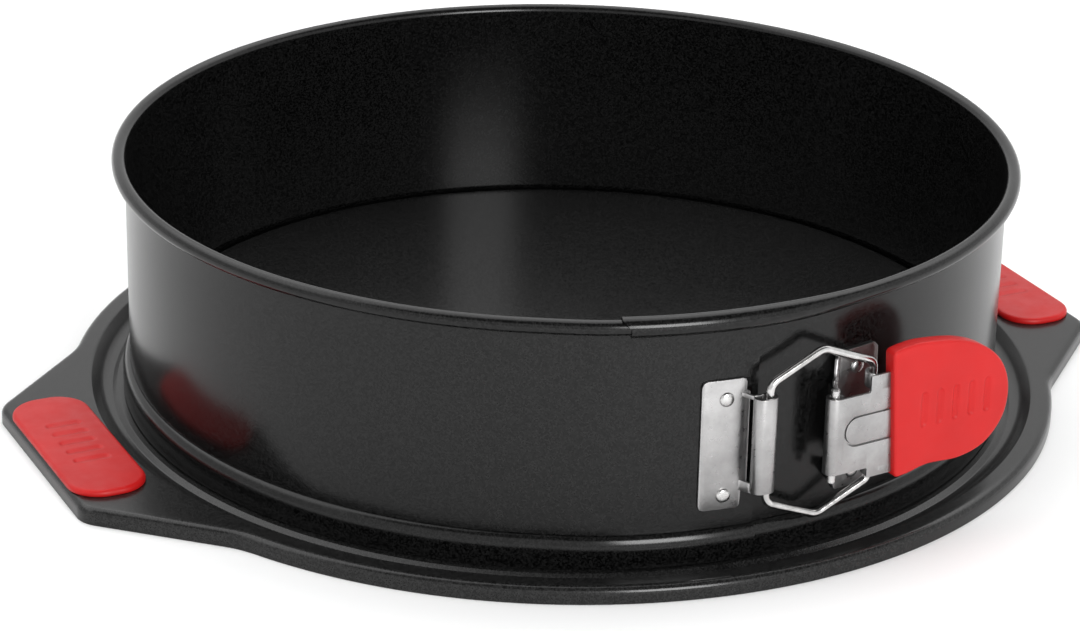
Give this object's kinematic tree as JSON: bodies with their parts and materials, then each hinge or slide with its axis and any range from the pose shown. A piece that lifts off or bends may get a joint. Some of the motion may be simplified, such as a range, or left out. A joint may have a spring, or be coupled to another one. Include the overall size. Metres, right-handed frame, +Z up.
{
  "type": "springform pan",
  "caption": "Round springform cake pan: a handled baking-tray base with a raised floor and drip channel, and a lift-off band opened by an over-centre wire latch.",
  "frame": {"origin": "middle of the base, on the surface that the pan stands on", "axes": "+Z up, +X through the right-hand handle, -Y towards the latch"},
  "size_m": [0.3324, 0.2972, 0.0767],
  "materials": {
    "band_coating": "matt, finely speckled non-stick coating",
    "tray_coating": "satin non-stick coating",
    "silicone": "matt red silicone",
    "latch_steel": "satin stamped sheet",
    "rivet_steel": "tumbled",
    "wire_steel": "bright wire"
  },
  "bodies": {
    "base": {"base_tray": "tray_coating", "left_handle_pad": "silicone", "right_handle_pad": "silicone"},
    "band_back": {"ring_back": "band_coating"},
    "band_left": {"ring_left": "band_coating", "keeper_plate": "latch_steel", "keeper_rivets": "rivet_steel"},
    "band_right": {"ring_right": "band_coating", "latch_bracket": "latch_steel", "bracket_rivets": "rivet_steel", "lever_pivot_pin": "rivet_steel"},
    "lever": {"latch_lever": "latch_steel", "lever_grip": "silicone"},
    "bail": {"wire_bail": "wire_steel"}
  },
  "joints": [
    {"name": "ring_lift", "type": "slide", "parent": "base", "child": "band_back", "axis": [0, 0, 1], "range_m": [0, 0.08]},
    {"name": "lever_swing", "type": "hinge", "parent": "band_right", "child": "lever", "pos_m": [0.01376, -0.13782, 0.0378], "axis": [0, 0, -1], "range_deg": [0, 120]},
    {"name": "left_opening", "type": "hinge", "parent": "band_back", "child": "band_left", "pos_m": [-0.1343, 0, 0.04], "axis": [0, 0, -1], "range_deg": [0, 2.79]},
    {"name": "right_opening", "type": "hinge", "parent": "band_back", "child": "band_right", "pos_m": [0.1343, 0, 0.04], "axis": [0, 0, 1], "range_deg": [0, 2.79]},
    {"name": "bail_swing", "type": "hinge", "parent": "band_left", "child": "bail", "pos_m": [-0.00592, -0.13688, 0.0378], "axis": [0, 0, -1], "range_deg": [0, 26.84]}
  ],
  "couplings": [
    {"joint": "left_opening", "follows": "lever_swing", "ratio": 0.02325},
    {"joint": "right_opening", "follows": "lever_swing", "ratio": 0.02325},
    {"joint": "bail_swing", "follows": "lever_swing", "ratio": 0.22359}
  ]
}
